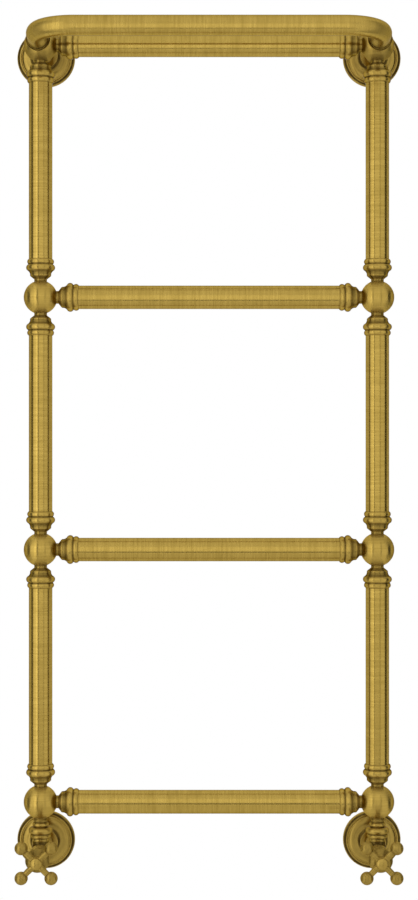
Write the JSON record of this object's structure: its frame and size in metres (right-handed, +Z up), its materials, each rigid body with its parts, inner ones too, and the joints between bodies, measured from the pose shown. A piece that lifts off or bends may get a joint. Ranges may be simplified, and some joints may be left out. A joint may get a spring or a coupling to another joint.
{
  "type": "heated towel rail",
  "caption": "Wall-hung water-heated towel rail with ball-jointed posts and rails, turned collars, a projecting towel hoop and an angle valve with a cross handle under each post.",
  "frame": {"origin": "on the wall face, midway between the two top wall plates, level with the top rail", "axes": "+Z up, +X to the right seen from the room, +Y into the wall"},
  "size_m": [0.506, 0.2275, 1.107],
  "materials": {
    "brushed_tube": "antique brass, brushed around the tube",
    "turned_brass": "antique brass, turned and satin, darker in the grooves",
    "handle_brass": "antique brass, satin polished casting",
    "plain_brass": "plain machined brass",
    "seal_rubber": "black sealing rubber",
    "screw_steel": "plain steel"
  },
  "bodies": {
    "rail_frame": {"left_top_ball": "turned_brass", "left_upper_ball": "turned_brass", "left_lower_ball": "turned_brass", "left_bottom_ball": "turned_brass", "left_upper_post": "brushed_tube", "left_upper_post_collars": "turned_brass", "left_middle_post": "brushed_tube", "left_middle_post_collars": "turned_brass", "left_lower_post": "brushed_tube", "left_lower_post_collars": "turned_brass", "left_bracket_rosette": "turned_brass", "left_pipe_rosette": "turned_brass", "left_valve_body": "turned_brass", "left_bonnet": "turned_brass", "right_top_ball": "turned_brass", "right_upper_ball": "turned_brass", "right_lower_ball": "turned_brass", "right_bottom_ball": "turned_brass", "right_upper_post": "brushed_tube", "right_upper_post_collars": "turned_brass", "right_middle_post": "brushed_tube", "right_middle_post_collars": "turned_brass", "right_lower_post": "brushed_tube", "right_lower_post_collars": "turned_brass", "right_bracket_rosette": "turned_brass", "right_pipe_rosette": "turned_brass", "right_valve_body": "turned_brass", "right_bonnet": "turned_brass", "top_rail": "brushed_tube", "top_rail_collars": "turned_brass", "upper_rail": "brushed_tube", "upper_rail_collars": "turned_brass", "lower_rail": "brushed_tube", "lower_rail_collars": "turned_brass", "bottom_rail": "brushed_tube", "bottom_rail_collars": "turned_brass", "towel_hoop": "brushed_tube", "hoop_ferrules": "turned_brass", "valve_tails": "turned_brass", "union_nuts": "turned_brass", "wall_plates": "plain_brass", "bracket_stems": "turned_brass", "inlet_pipes": "turned_brass", "joint_nipples": "plain_brass", "joint_seals": "seal_rubber", "bracket_grub_screws": "screw_steel", "bleed_plug": "turned_brass"},
    "left_valve_plug": {"left_jumper": "plain_brass", "left_seat_washer": "seal_rubber"},
    "left_valve_handle": {"left_valve_stem": "plain_brass", "left_handle_hub": "handle_brass", "left_handle_arms": "handle_brass", "left_handle_cap": "handle_brass"},
    "right_valve_plug": {"right_jumper": "plain_brass", "right_seat_washer": "seal_rubber"},
    "right_valve_handle": {"right_valve_stem": "plain_brass", "right_handle_hub": "handle_brass", "right_handle_arms": "handle_brass", "right_handle_cap": "handle_brass"},
    "bleed_screw": {"bleed_screw": "plain_brass"}
  },
  "joints": [
    {"name": "left_valve_lift", "type": "slide", "parent": "rail_frame", "child": "left_valve_plug", "axis": [0, -1, 0], "range_m": [0, 0.00394]},
    {"name": "left_valve_turn", "type": "hinge", "parent": "left_valve_plug", "child": "left_valve_handle", "pos_m": [-0.215, -0.085, -1.03102], "axis": [0, -1, 0], "range_deg": [0, 945]},
    {"name": "right_valve_lift", "type": "slide", "parent": "rail_frame", "child": "right_valve_plug", "axis": [0, -1, 0], "range_m": [0, 0.00394]},
    {"name": "right_valve_turn", "type": "hinge", "parent": "right_valve_plug", "child": "right_valve_handle", "pos_m": [0.215, -0.085, -1.03102], "axis": [0, -1, 0], "range_deg": [0, 945]},
    {"name": "bleed_turn", "type": "hinge", "parent": "rail_frame", "child": "bleed_screw", "pos_m": [0.215, -0.085, 0.02], "axis": [0, 0, 1], "range_deg": [0, 180]}
  ],
  "couplings": [
    {"joint": "left_valve_lift", "follows": "left_valve_turn", "m_per_rad": 0.00023873},
    {"joint": "right_valve_lift", "follows": "right_valve_turn", "m_per_rad": 0.00023873}
  ]
}
